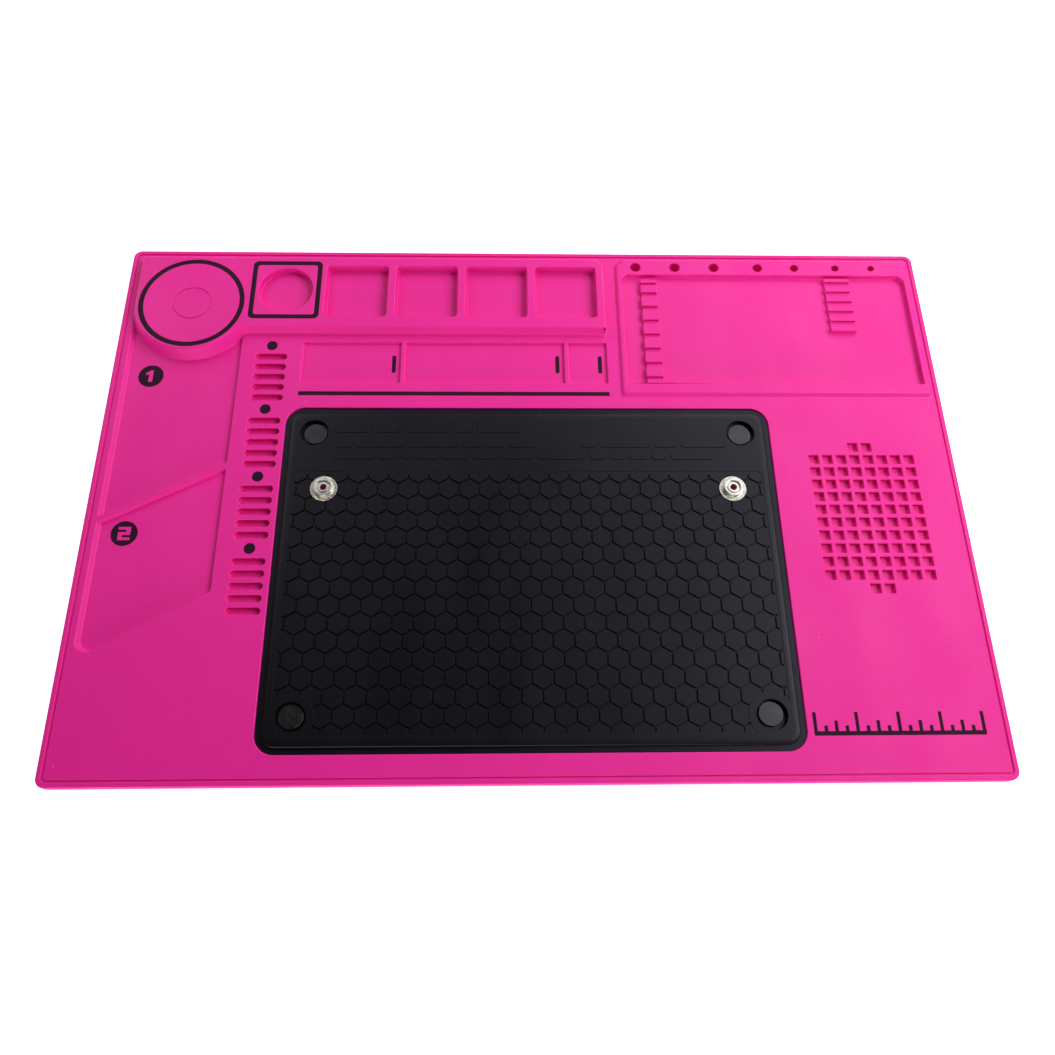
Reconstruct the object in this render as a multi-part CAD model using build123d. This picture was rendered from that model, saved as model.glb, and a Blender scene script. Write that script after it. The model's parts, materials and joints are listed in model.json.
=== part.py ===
from build123d import *
import math
import os

# Silicone soldering mat with a lift-out anti-static centre pad.
# Millimetres. Origin: centre of the underside. +X right, +Y towards the far edge, +Z up.

# ---- Whole mat ----
MAT_X = 450.0
MAT_Y = 300.0
MAT_CORNER = 4.5
MAT_EDGE_ROUND = 0.8

# ---- Levels above the bench ----
Z_MAIN = 5.5                          # work surface
BLOCK_RISE = 5.0                      # storage block above the work surface
FRAME_RISE = 1.8                      # tool tray rim above the work surface
Z_BLOCK = Z_MAIN + BLOCK_RISE
Z_FRAME = Z_MAIN + FRAME_RISE
ZONE_DEPTH = 2.0
TRAY_DEPTH = 1.7
SLOT_DEPTH = 2.8
PIT_DEPTH = 2.5
TOOL_TRAY_DEPTH = 3.0
COMPARTMENT_DEPTH = 4.8
JAR_DEPTH = 4.2
DISH_DEPTH = 1.0
TOOL_HOLE_FLOOR = 2.0
INLAY_DEPTH = 1.0

# ---- Border groove ----
GROOVE_INSET = 2.9
GROOVE_WIDTH = 1.0
GROOVE_DEPTH = 0.8
GROOVE_CORNER = 2.0

# ---- Storage block, with the round dish at its left end ----
BLOCK_FRONT = 95.2
BLOCK_REAR = 142.0
BLOCK_RIGHT = 43.0
BLOCK_BEVEL = 4.0
BLOCK_CORNER = 1.0
BLOCK_BLEND = 12.0                    # hollow corner where the block meets the dish
BLOCK_BLEND_SKIRT = 2.0               # how much tighter that corner is at the foot
BLOCK_FRONT_SKIRT = 2.0               # how far the front wall spreads down to its foot
BLOCK_SIDE_SKIRT = 0.5
DISH_X = -186.3
DISH_Y = 110.8
DISH_LIP_R = 30.5
DISH_SKIRT = 3.0
DISH_RING_R = 29.0
DISH_RING_LINE = 2.7
DISH_HOLLOW_R = 26.0
DISH_MARK_R = 10.2
DISH_MARK_LINE = 0.5
DISH_MARK_DEPTH = 0.3
DISH_MAGNET_R = 10.0
DISH_MAGNET_T = 2.0
DISH_MAGNET_Z = 4.5

# ---- Jar seat ----
JAR_X = -135.2
JAR_Y = 119.6
JAR_FRAME = 38.8
JAR_FRAME_LINE = 2.6
JAR_FRAME_CORNER = 3.0
JAR_R = 15.0
JAR_DRAFT = 5.0

# ---- Four square compartments ----
COMPARTMENT = 34.7
COMPARTMENT_PITCH = 39.07
COMPARTMENT_X = -95.85                # centre of the first one
COMPARTMENT_Y = 119.2
COMPARTMENT_CORNER = 2.5
COMPARTMENT_DRAFT = 9.0
COMPARTMENTS = 4

# ---- Three shallow trays and the bar below them ----
TRAY_FRONT = 62.4
TRAY_REAR = 88.5
TRAY_SPANS = {"left": (-123.7, -69.9), "middle": (-67.6, 19.8), "right": (22.1, 43.4)}
TRAY_CORNER = 0.8
TRAY_MARK_FROM_END = {"left": 3.8, "middle": 3.8, "right": 3.9}
TRAY_MARK_Y = 75.2
TRAY_MARK_LENGTH = 11.2
TRAY_MARK_WIDTH = 2.2
BAR_LEFT = -124.0
BAR_RIGHT = 43.8
BAR_Y = 55.5
BAR_WIDTH = 2.4
BAR_CORNER = 0.4

# ---- Column of part slots, in groups headed by a dot ----
SLOT_X = -140.6
SLOT_LENGTH = 17.0
SLOT_WIDTH = 4.0
SLOT_PITCH = 6.43
SLOT_FIRST = 7.05                     # from a dot to the first slot below it
SLOTS_PER_GROUP = 5
DOT_R = 2.9
DOT_TOP_Y = 85.7
DOT_PITCH = 40.0
GROUPS = 4

# ---- Two sorting zones on the left, parted by a slanting rib ----
ZONE_LEFT = -218.4
ZONE_LEFT_SLOPE = 1.7                 # how far the left wall leans in at its foot
ZONE_RIGHT = -157.4
ZONE_RIB_LEFT_Y = -16.8               # rear zone's front edge at its left end
ZONE_RIB_RIGHT_Y = 14.3
ZONE_RIB_DEPTH = 3.6                  # rib size along Y
ZONE_FOOT_LEFT_Y = -90.9
ZONE_FOOT_RIGHT_Y = -57.0
ZONE_CORNER = 0.8
ZONE_FOOT_CORNER = 5.5
ZONE_TIP_CORNER = 2.7
BADGE_R = 6.75
BADGE_X = -204.6
BADGE_REAR_Y = 67.2
BADGE_FRONT_Y = -25.3
NUMERAL_HEIGHT = 7.4
NUMERAL_WIDTH = 6.2
NUMERAL_STROKE = 2.2                  # upright strokes
NUMERAL_BAR = 1.7                     # level strokes
NUMERAL_FLAG = 1.6                    # reach and drop of the flag on the 1
NUMERAL_CORNER = 0.25

# ---- Tool tray on the right ----
FRAME_LEFT = 51.8
FRAME_RIGHT = 218.6
FRAME_FRONT = 55.7
FRAME_REAR = 143.9
FRAME_BEVEL = 4.4
FRAME_CORNER = 0.8
FRAME_SKIRT = 2.0                     # how far the rim's outer wall spreads down to its foot
TOOL_TRAY_LEFT = 53.7
TOOL_TRAY_RIGHT = 217.0
TOOL_TRAY_FRONT = 61.4
TOOL_TRAY_REAR = 134.0
TOOL_TRAY_BEVEL = 3.3
TOOL_TRAY_DRAFT = 8.0
TOOL_HOLE_Y = 139.1
TOOL_HOLES = ((62.2, 3.0), (84.9, 3.0), (107.5, 2.9), (132.9, 2.7), (154.3, 2.4), (178.2, 2.1), (199.1, 1.9))

# ---- Rests inside the tool tray ----
REST_BASE = 1.2                       # plinth under the teeth
REST_RISE = 2.8                       # tooth top above the tray floor
REST_STEP = 0.6                       # how much narrower the plinth is on each side
LEFT_REST_X = (64.4, 73.8)
LEFT_REST_REAR_TEETH = ((128.3, 2.4), (121.7, 5.0))     # front edge and length
LEFT_REST_TEETH = 6
LEFT_REST_TOOTH = 6.2
LEFT_REST_FIRST = 112.4
LEFT_REST_PITCH = 9.32
LEFT_REST_END = 2.6                     # length of the tooth at the front wall
LEFT_REST_LAP = 0.3                     # and how far it stands onto the rim
RIGHT_REST_X = (170.3, 185.1)
RIGHT_REST_TEETH = 6
RIGHT_REST_TOOTH = 2.3
RIGHT_REST_FIRST = 129.6
RIGHT_REST_PITCH = 6.67

# ---- Bit grid ----
PIT = 5.2
PIT_PITCH_X = 7.25
PIT_PITCH_Y = 7.22
PIT_X = 150.15
PIT_Y = 15.9
PIT_COLUMNS = 8
PIT_ROWS = 10
PIT_EXTRA_COLUMNS = (3, 4)
PIT_CORNER = 0.3

# ---- Scale inlaid near the front right corner ----
SCALE_LEFT = 131.5
SCALE_FRONT = -129.0
SCALE_STEPS = 16
SCALE_STEP = 5.0
SCALE_BASE = 2.0
SCALE_TICK = 1.6
SCALE_HEIGHTS = (11.0, 4.6, 7.0, 4.6)     # of the ticks, over and over from the left

# ---- Centre pad ----
PAD_X = -0.4
PAD_Y = -44.8
PAD_W = 256.8
PAD_D = 182.0
PAD_CORNER = 9.5
PAD_GAP = 0.3                         # between the pad and its pocket
PAD_FLOOR = 2.5
SLAB_INSET = 2.9
SLAB_RISE = 1.0
FLANGE_SINK = 0.9                     # top of the flange below the work surface
SLAB_ROUND = 0.8
Z_SLAB = Z_MAIN + SLAB_RISE
Z_FLANGE = Z_MAIN - FLANGE_SINK
PANEL_DEPTH = 0.2
PANEL_HALF_W = 121.8
PANEL_REAR = 8.3
PANEL_FRONT = -127.8
PANEL_CORNER = 3.0
HEX_PITCH = 10.4
HEX_ROWS = 14
HEX_COLUMNS = 23
HEX_FIRST_Y = -1.7
HEX_GROOVE = 0.9
HEX_GROOVE_DEPTH = 0.8
HEX_FIELD_HALF_W = 120.9
HEX_FIELD_REAR = 6.4
HEX_FIELD_FRONT = -126.9

# ---- Pad magnets, loose in their holes ----
MAGNET_R = 5.9
MAGNET_T = 1.2
MAGNET_CHAMFER = 0.2
MAGNET_HOLE_R = 7.5
MAGNET_SEAT = 4.0
MAGNET_BOSS_R = 11.3
MAGNET_HALF_SPAN = 112.7
MAGNET_REAR_Y = 31.0
MAGNET_FRONT_Y = -119.3
MAGNET_SHIFT_IN = 0.35
MAGNET_SHIFT_REAR = -0.2
MAGNET_SHIFT_FRONT = 0.75

# ---- Grounding snaps ----
SNAP_HALF_SPAN = 105.6
SNAP_Y = -1.6
WASHER_R = 7.0
WASHER_SINK = 0.4                     # seat of the washer below the honeycomb panel
WASHER_T = 0.6
WASHER_TEETH = 40
WASHER_TOOTH_DEPTH = 0.25
STUD_R = 5.0
STUD_BASE_R = 5.4
STUD_BASE_T = 0.3
STUD_HEIGHT = 2.2
STUD_WALL = 1.3
STUD_WEB = 0.9
STUD_ROUND = 0.5
EYELET_R = 2.3
EYELET_BORE_R = 1.7
EYELET_FLANGE_R = 4.5
EYELET_FLANGE_T = 0.5
EYELET_LIP_R = 2.9
EYELET_LIP_T = 0.8
EYELET_LIP_ROUND = 0.3

Z_ZONE = Z_MAIN - ZONE_DEPTH
Z_TOOL_TRAY = Z_FRAME - TOOL_TRAY_DEPTH
Z_PANEL = Z_SLAB - PANEL_DEPTH
WASHER_SEAT = Z_PANEL - WASHER_SINK
WASHER_TOP = WASHER_SEAT + WASHER_T


def round_corners(face, points, radii):
    """A face with its corners at the points rounded."""
    for point, corner in zip(points, radii):
        if corner > 0:
            vertex = min(face.vertices(), key=lambda v: math.dist((v.X, v.Y), point))
            face = face.fillet_2d(corner, [vertex])
    return face


def outline(points, radius=0.0):
    """Closed face through the points, with one corner radius or a list of them."""
    radii = radius if isinstance(radius, (list, tuple)) else [radius] * len(points)
    return round_corners(make_face(Polyline(*points, close=True)).face(), points, radii)


def rectangle(left, right, front, rear, corner=0.0):
    """Rounded rectangle between its four sides."""
    centre = Pos((left + right) / 2, (front + rear) / 2)
    if corner > 0:
        return centre * RectangleRounded(right - left, rear - front, corner)
    return centre * Rectangle(right - left, rear - front)


def rise(face, low, high):
    """Straight prism over a face, from one level to another."""
    return extrude(Pos(0, 0, low) * face, high - low, dir=(0, 0, 1))


def sink(face, top, depth, draft=0.0):
    """Hollow under a face that narrows downwards by the draft angle."""
    return extrude(Pos(0, 0, top) * face, depth, dir=(0, 0, -1), taper=draft)


def disc(x, y, radius, low, high):
    """Upright cylinder."""
    return Pos(x, y, low) * Cylinder(radius, high - low, align=(Align.CENTER, Align.CENTER, Align.MIN))


def ring_face(x, y, outer, inner):
    """Flat ring."""
    return Pos(x, y) * (Circle(outer) - Circle(inner))


def write(name, shape):
    """Write one node."""
    export_step(shape, f"parts/{name}.step")


# ---- Outlines ----
def block_face(spread):
    """Outline of the storage block: a long strip that ends in the round dish.

    The spread is 0 at the top and 1 at the foot, where the walls stand out furthest.
    """
    radius = DISH_LIP_R + spread * DISH_SKIRT
    front = BLOCK_FRONT - spread * BLOCK_FRONT_SKIRT
    right = BLOCK_RIGHT + spread * BLOCK_SIDE_SKIRT
    rear = BLOCK_REAR + spread * BLOCK_SIDE_SKIRT
    left = DISH_X - radius
    blend = BLOCK_BLEND - spread * BLOCK_BLEND_SKIRT
    blend_y = front - blend
    blend_x = DISH_X + math.sqrt((radius + blend) ** 2 - (DISH_Y - blend_y) ** 2)
    meet = math.degrees(math.atan2(blend_y - DISH_Y, blend_x - DISH_X))
    corners = [(right, front), (right, rear - BLOCK_BEVEL), (right - BLOCK_BEVEL, rear), (left, rear)]
    strip = Polyline((blend_x, front), *corners, (left, DISH_Y))
    dish = CenterArc((DISH_X, DISH_Y), radius, 180, 180 + meet)
    hollow = CenterArc((blend_x, blend_y), blend, 180 + meet, -90 - meet)
    face = make_face([*strip.edges(), dish.edge(), hollow.edge()]).face()
    return round_corners(face, corners, [BLOCK_CORNER] * len(corners))


def compartment_faces():
    """The square compartments, left to right."""
    half = COMPARTMENT / 2
    for column in range(COMPARTMENTS):
        x = COMPARTMENT_X + column * COMPARTMENT_PITCH
        yield rectangle(x - half, x + half, COMPARTMENT_Y - half, COMPARTMENT_Y + half, COMPARTMENT_CORNER)


def along_slant(x, left_y, right_y):
    """Y of a line that slants from the zones' left side to their right side."""
    return left_y + (x - ZONE_LEFT) / (ZONE_RIGHT - ZONE_LEFT) * (right_y - left_y)


def rear_zone_face(lean):
    """Rear sorting zone, which runs up beside the dish, with its left side moved in by the lean."""
    left = ZONE_LEFT + lean
    points = [(left, along_slant(left, ZONE_RIB_LEFT_Y, ZONE_RIB_RIGHT_Y)), (ZONE_RIGHT, ZONE_RIB_RIGHT_Y),
              (ZONE_RIGHT, DISH_Y), (left, DISH_Y)]
    return outline(points, ZONE_CORNER)


def front_zone_face(lean):
    """Front sorting zone, with a slanting front edge and its left side moved in by the lean."""
    left = ZONE_LEFT + lean
    rear_left = along_slant(left, ZONE_RIB_LEFT_Y, ZONE_RIB_RIGHT_Y) - ZONE_RIB_DEPTH
    points = [(left, along_slant(left, ZONE_FOOT_LEFT_Y, ZONE_FOOT_RIGHT_Y)), (ZONE_RIGHT, ZONE_FOOT_RIGHT_Y),
              (ZONE_RIGHT, ZONE_RIB_RIGHT_Y - ZONE_RIB_DEPTH), (left, rear_left)]
    return outline(points, [ZONE_FOOT_CORNER, ZONE_TIP_CORNER, ZONE_CORNER, ZONE_CORNER])


def tool_frame_face():
    """Top of the tool tray's rim, with a bevelled corner."""
    points = [(FRAME_LEFT, FRAME_FRONT), (FRAME_RIGHT, FRAME_FRONT), (FRAME_RIGHT, FRAME_REAR),
              (FRAME_LEFT + FRAME_BEVEL, FRAME_REAR), (FRAME_LEFT, FRAME_REAR - FRAME_BEVEL)]
    return outline(points, FRAME_CORNER)


def tool_tray_face():
    """Inside of the tool tray, with two bevelled corners."""
    points = [(TOOL_TRAY_LEFT, TOOL_TRAY_FRONT), (TOOL_TRAY_RIGHT, TOOL_TRAY_FRONT),
              (TOOL_TRAY_RIGHT, TOOL_TRAY_REAR - TOOL_TRAY_BEVEL),
              (TOOL_TRAY_RIGHT - TOOL_TRAY_BEVEL, TOOL_TRAY_REAR),
              (TOOL_TRAY_LEFT + TOOL_TRAY_BEVEL, TOOL_TRAY_REAR),
              (TOOL_TRAY_LEFT, TOOL_TRAY_REAR - TOOL_TRAY_BEVEL)]
    return outline(points)


def pit_centres():
    """Centres of the small square pits, with two extra ones before and after the grid."""
    for row in range(-1, PIT_ROWS + 1):
        for column in range(PIT_COLUMNS):
            if 0 <= row < PIT_ROWS or column in PIT_EXTRA_COLUMNS:
                yield (PIT_X + column * PIT_PITCH_X, PIT_Y - row * PIT_PITCH_Y)


def dot_centres():
    """Dots that head the groups of slots."""
    return [(SLOT_X, DOT_TOP_Y - group * DOT_PITCH) for group in range(GROUPS)]


def slot_centres():
    """Part slots, in groups below the dots."""
    for x, dot_y in dot_centres():
        for slot in range(SLOTS_PER_GROUP):
            yield (x, dot_y - SLOT_FIRST - slot * SLOT_PITCH)


# ---- Inlay outlines ----
def jar_frame_face():
    """Square line round the jar seat."""
    outer = RectangleRounded(JAR_FRAME, JAR_FRAME, JAR_FRAME_CORNER)
    inside = JAR_FRAME - 2 * JAR_FRAME_LINE
    return Pos(JAR_X, JAR_Y) * (outer - RectangleRounded(inside, inside, JAR_FRAME_CORNER - JAR_FRAME_LINE / 2))


def tray_mark_face(side):
    """Upright bar mark near the right end of a shallow tray."""
    x = TRAY_SPANS[side][1] - TRAY_MARK_FROM_END[side]
    straight = TRAY_MARK_LENGTH - TRAY_MARK_WIDTH
    return Pos(x, TRAY_MARK_Y) * Rot(0, 0, 90) * SlotCenterToCenter(straight, TRAY_MARK_WIDTH)


def numeral_one():
    """Block numeral 1, centred."""
    half = NUMERAL_HEIGHT / 2
    stem = NUMERAL_STROKE / 2
    flag = -stem - NUMERAL_FLAG
    points = [(-stem, -half), (stem, -half), (stem, half), (0.0, half), (flag, half - NUMERAL_FLAG),
              (flag, half - NUMERAL_FLAG - NUMERAL_BAR), (-stem, half - NUMERAL_FLAG - NUMERAL_BAR / 2)]
    return outline(points)


def numeral_two():
    """Block numeral 2, centred, built of five square strokes."""
    half_h = NUMERAL_HEIGHT / 2
    half_w = NUMERAL_WIDTH / 2
    inner_w = half_w - NUMERAL_STROKE
    inner_h = half_h - NUMERAL_BAR
    waist = NUMERAL_BAR / 2
    points = [(-half_w, -half_h), (half_w, -half_h), (half_w, -inner_h), (-inner_w, -inner_h),
              (-inner_w, -waist), (half_w, -waist), (half_w, half_h), (-half_w, half_h),
              (-half_w, inner_h), (inner_w, inner_h), (inner_w, waist), (-half_w, waist)]
    return outline(points, NUMERAL_CORNER)


def badge_face(y, numeral):
    """Round badge with a numeral left open in it."""
    return Pos(BADGE_X, y) * (Circle(BADGE_R) - numeral)


def scale_face():
    """Scale bar with short, medium and long ticks."""
    length = SCALE_STEPS * SCALE_STEP
    face = rectangle(SCALE_LEFT, SCALE_LEFT + length + SCALE_TICK, SCALE_FRONT, SCALE_FRONT + SCALE_BASE)
    for step in range(SCALE_STEPS + 1):
        height = SCALE_HEIGHTS[step % len(SCALE_HEIGHTS)]
        left = SCALE_LEFT + step * SCALE_STEP
        face += rectangle(left, left + SCALE_TICK, SCALE_FRONT, SCALE_FRONT + height)
    return face


def inlays():
    """Every black inlay as node name, face and the level of its top."""
    made = {
        "dish_ring_inlay": (ring_face(DISH_X, DISH_Y, DISH_RING_R, DISH_RING_R - DISH_RING_LINE), Z_BLOCK),
        "jar_frame_inlay": (jar_frame_face(), Z_BLOCK),
        "divider_bar_inlay": (rectangle(BAR_LEFT, BAR_RIGHT, BAR_Y - BAR_WIDTH / 2, BAR_Y + BAR_WIDTH / 2,
                                        BAR_CORNER), Z_MAIN),
        "rear_zone_badge": (badge_face(BADGE_REAR_Y, numeral_one()), Z_ZONE),
        "front_zone_badge": (badge_face(BADGE_FRONT_Y, numeral_two()), Z_ZONE),
        "corner_scale_inlay": (scale_face(), Z_MAIN),
    }
    for side in TRAY_SPANS:
        made[f"{side}_tray_mark"] = (tray_mark_face(side), Z_MAIN - TRAY_DEPTH)
    for number, (x, y) in enumerate(dot_centres(), start=1):
        made[f"slot_dot_{number}"] = (Pos(x, y) * Circle(DOT_R), Z_MAIN)
    return made


# ---- Mat ----
def block_solid():
    """The storage block and dish, whose walls lean in from their foot."""
    foot = Pos(0, 0, Z_ZONE) * block_face(1.0)
    top = Pos(0, 0, Z_BLOCK) * block_face(0.0)
    return loft([foot, top], ruled=True)


def tool_frame_solid():
    """The tool tray's rim, whose outer walls lean in from their foot."""
    lean = math.degrees(math.atan(FRAME_SKIRT / FRAME_RISE))
    return sink(tool_frame_face(), Z_FRAME, FRAME_RISE, -lean)


def dish_hollow():
    """Shallow round hollow, a part of a large ball."""
    ball = (DISH_HOLLOW_R ** 2 + DISH_DEPTH ** 2) / (2 * DISH_DEPTH)
    return Pos(DISH_X, DISH_Y, Z_BLOCK - DISH_DEPTH + ball) * Sphere(ball)


def zone_hollows():
    """The two sorting zones, whose left walls lean in."""
    for face_at in (rear_zone_face, front_zone_face):
        yield loft([Pos(0, 0, Z_ZONE) * face_at(ZONE_LEFT_SLOPE), Pos(0, 0, Z_MAIN) * face_at(0.0)], ruled=True)


def rest_solid(span, rear, front, teeth):
    """Plinth with upright teeth, each given by its front edge and length, for tools to lie across."""
    low = Z_TOOL_TRAY
    solid = rise(rectangle(span[0] + REST_STEP, span[1] - REST_STEP, front, rear), low, low + REST_BASE)
    for tooth_front, length in teeth:
        solid += rise(rectangle(*span, tooth_front, tooth_front + length), low, low + REST_RISE)
    return solid


def left_rest():
    """Long rest on the left of the tool tray."""
    teeth = list(LEFT_REST_REAR_TEETH)
    teeth += [(LEFT_REST_FIRST - k * LEFT_REST_PITCH, LEFT_REST_TOOTH) for k in range(LEFT_REST_TEETH)]
    teeth.append((TOOL_TRAY_FRONT - LEFT_REST_LAP, LEFT_REST_END + LEFT_REST_LAP))
    return rest_solid(LEFT_REST_X, sum(teeth[0]), TOOL_TRAY_FRONT, teeth)


def right_rest():
    """Short rest on the right of the tool tray."""
    teeth = [(RIGHT_REST_FIRST - k * RIGHT_REST_PITCH, RIGHT_REST_TOOTH) for k in range(RIGHT_REST_TEETH)]
    return rest_solid(RIGHT_REST_X, sum(teeth[0]), teeth[-1][0], teeth)


def mat_hollows():
    """Everything that is cut from the moulding."""
    groove_half = GROOVE_WIDTH / 2
    outer = RectangleRounded(MAT_X - 2 * (GROOVE_INSET - groove_half), MAT_Y - 2 * (GROOVE_INSET - groove_half),
                             GROOVE_CORNER + groove_half)
    inner = RectangleRounded(MAT_X - 2 * (GROOVE_INSET + groove_half), MAT_Y - 2 * (GROOVE_INSET + groove_half),
                             GROOVE_CORNER - groove_half)
    cuts = [sink(outer - inner, Z_MAIN, GROOVE_DEPTH)]
    pocket = Pos(PAD_X, PAD_Y) * RectangleRounded(PAD_W + 2 * PAD_GAP, PAD_D + 2 * PAD_GAP, PAD_CORNER + PAD_GAP)
    cuts.append(rise(pocket, PAD_FLOOR, Z_MAIN))
    cuts += zone_hollows()
    for left, right in TRAY_SPANS.values():
        cuts.append(sink(rectangle(left, right, TRAY_FRONT, TRAY_REAR, TRAY_CORNER), Z_MAIN, TRAY_DEPTH))
    for x, y in slot_centres():
        face = Pos(x, y) * SlotOverall(SLOT_LENGTH, SLOT_WIDTH)
        cuts.append(sink(face, Z_MAIN, SLOT_DEPTH))
    for x, y in pit_centres():
        cuts.append(sink(Pos(x, y) * RectangleRounded(PIT, PIT, PIT_CORNER), Z_MAIN, PIT_DEPTH))
    return cuts


def block_hollows():
    """Everything that is cut from the storage block."""
    cuts = [sink(face, Z_BLOCK, COMPARTMENT_DEPTH, COMPARTMENT_DRAFT) for face in compartment_faces()]
    cuts.append(sink(Pos(JAR_X, JAR_Y) * Circle(JAR_R), Z_BLOCK, JAR_DEPTH, JAR_DRAFT))
    cuts.append(dish_hollow())
    mark = ring_face(DISH_X, DISH_Y, DISH_MARK_R + DISH_MARK_LINE / 2, DISH_MARK_R - DISH_MARK_LINE / 2)
    cuts.append(rise(mark, Z_BLOCK - DISH_DEPTH - DISH_MARK_DEPTH, Z_BLOCK))
    cuts.append(disc(DISH_X, DISH_Y, DISH_MAGNET_R, DISH_MAGNET_Z, DISH_MAGNET_Z + DISH_MAGNET_T))
    return cuts


def base_mat():
    """The pink moulding."""
    plate = rise(RectangleRounded(MAT_X, MAT_Y, MAT_CORNER), 0.0, Z_MAIN)
    top_edges = plate.faces().sort_by(Axis.Z)[-1].outer_wire().edges()
    plate = fillet(top_edges, MAT_EDGE_ROUND)
    plate -= mat_hollows()
    plate += [block_solid(), tool_frame_solid()]
    plate -= block_hollows()
    plate -= sink(tool_tray_face(), Z_FRAME, TOOL_TRAY_DEPTH, TOOL_TRAY_DRAFT)
    plate += [left_rest(), right_rest()]
    plate -= [disc(x, TOOL_HOLE_Y, radius, TOOL_HOLE_FLOOR, Z_FRAME) for x, radius in TOOL_HOLES]
    plate -= [sink(face, top, INLAY_DEPTH) for face, top in inlays().values()]
    return plate


# ---- Pad ----
def side_centres(half_span):
    """X of the left and right members of a pair about the pad's centre."""
    return {"left": PAD_X - half_span, "right": PAD_X + half_span}


def hex_grooves():
    """Grooves between the hexagons, as one face cut off at a rectangle."""
    field = rectangle(PAD_X - HEX_FIELD_HALF_W, PAD_X + HEX_FIELD_HALF_W, HEX_FIELD_FRONT, HEX_FIELD_REAR)
    tile = RegularPolygon((HEX_PITCH - HEX_GROOVE) / math.sqrt(3), 6, rotation=30)
    row_pitch = HEX_PITCH * math.sqrt(3) / 2
    tiles = []
    for row in range(-1, HEX_ROWS + 1):
        columns = HEX_COLUMNS + 2 - (row % 2)
        first = PAD_X - (columns - 1) * HEX_PITCH / 2
        tiles += [Pos(first + column * HEX_PITCH, HEX_FIRST_Y - row * row_pitch) * tile
                  for column in range(columns)]
    return field - tiles


def center_pad():
    """The black anti-static pad: a low flange round a raised slab with a honeycomb panel."""
    flange = rise(Pos(PAD_X, PAD_Y) * RectangleRounded(PAD_W, PAD_D, PAD_CORNER), PAD_FLOOR, Z_FLANGE)
    slab_face = RectangleRounded(PAD_W - 2 * SLAB_INSET, PAD_D - 2 * SLAB_INSET, PAD_CORNER - SLAB_INSET)
    slab = rise(Pos(PAD_X, PAD_Y) * slab_face, Z_FLANGE, Z_SLAB)
    slab = fillet(slab.faces().sort_by(Axis.Z)[-1].outer_wire().edges(), SLAB_ROUND)
    panel = rectangle(PAD_X - PANEL_HALF_W, PAD_X + PANEL_HALF_W, PANEL_FRONT, PANEL_REAR, PANEL_CORNER)
    grooves = hex_grooves()
    for x in side_centres(MAGNET_HALF_SPAN).values():
        boss = Pos(x, MAGNET_FRONT_Y) * Circle(MAGNET_BOSS_R)
        panel -= boss
        grooves -= boss
    cuts = [sink(panel, Z_SLAB, PANEL_DEPTH), sink(grooves, Z_PANEL, HEX_GROOVE_DEPTH)]
    for x in side_centres(MAGNET_HALF_SPAN).values():
        for y in (MAGNET_REAR_Y, MAGNET_FRONT_Y):
            cuts.append(disc(x, y, MAGNET_HOLE_R, MAGNET_SEAT, Z_SLAB))
    for x in side_centres(SNAP_HALF_SPAN).values():
        cuts.append(disc(x, SNAP_Y, WASHER_R, WASHER_SEAT, Z_PANEL))
        cuts.append(disc(x, SNAP_Y, EYELET_R, PAD_FLOOR, Z_PANEL))
        cuts.append(disc(x, SNAP_Y, EYELET_FLANGE_R, PAD_FLOOR, PAD_FLOOR + EYELET_FLANGE_T))
    return flange + slab - cuts


def magnet(x, y):
    """Disc magnet with broken edges."""
    solid = disc(x, y, MAGNET_R, MAGNET_SEAT, MAGNET_SEAT + MAGNET_T)
    return chamfer(solid.edges().filter_by(GeomType.CIRCLE), MAGNET_CHAMFER)


def pad_magnets():
    """The four pad magnets by node name."""
    rows = {"rear": MAGNET_REAR_Y + MAGNET_SHIFT_REAR, "front": MAGNET_FRONT_Y + MAGNET_SHIFT_FRONT}
    made = {}
    for row, y in rows.items():
        for side, x in side_centres(MAGNET_HALF_SPAN).items():
            inwards = MAGNET_SHIFT_IN if side == "left" else -MAGNET_SHIFT_IN
            made[f"{row}_{side}_magnet"] = magnet(x + inwards, y)
    return made


# ---- Grounding snap, three pieces ----
def grip_washer(x):
    """Serrated washer under the stud."""
    ring = disc(x, SNAP_Y, WASHER_R, WASHER_SEAT, WASHER_TOP) - disc(x, SNAP_Y, EYELET_R, WASHER_SEAT, WASHER_TOP)
    width = math.pi * WASHER_R / WASHER_TEETH
    notch = Pos(WASHER_R, 0, 0) * Box(2 * (WASHER_R - STUD_BASE_R), width, 2 * WASHER_TOOTH_DEPTH)
    places = Pos(x, SNAP_Y, WASHER_TOP) * PolarLocations(0, WASHER_TEETH)
    return ring - [place * notch for place in places]


def snap_stud(x):
    """Round stud: base plate, upright collar and a web that the eyelet grips."""
    top = WASHER_TOP + STUD_HEIGHT
    base = disc(x, SNAP_Y, STUD_BASE_R, WASHER_TOP, WASHER_TOP + STUD_BASE_T)
    collar = disc(x, SNAP_Y, STUD_R, WASHER_TOP + STUD_BASE_T, top)
    collar = fillet(collar.faces().sort_by(Axis.Z)[-1].edges(), STUD_ROUND)
    hollow = disc(x, SNAP_Y, STUD_R - STUD_WALL, WASHER_TOP + STUD_WEB, top)
    return base + collar - hollow - disc(x, SNAP_Y, EYELET_R, WASHER_TOP, WASHER_TOP + STUD_WEB)


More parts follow.
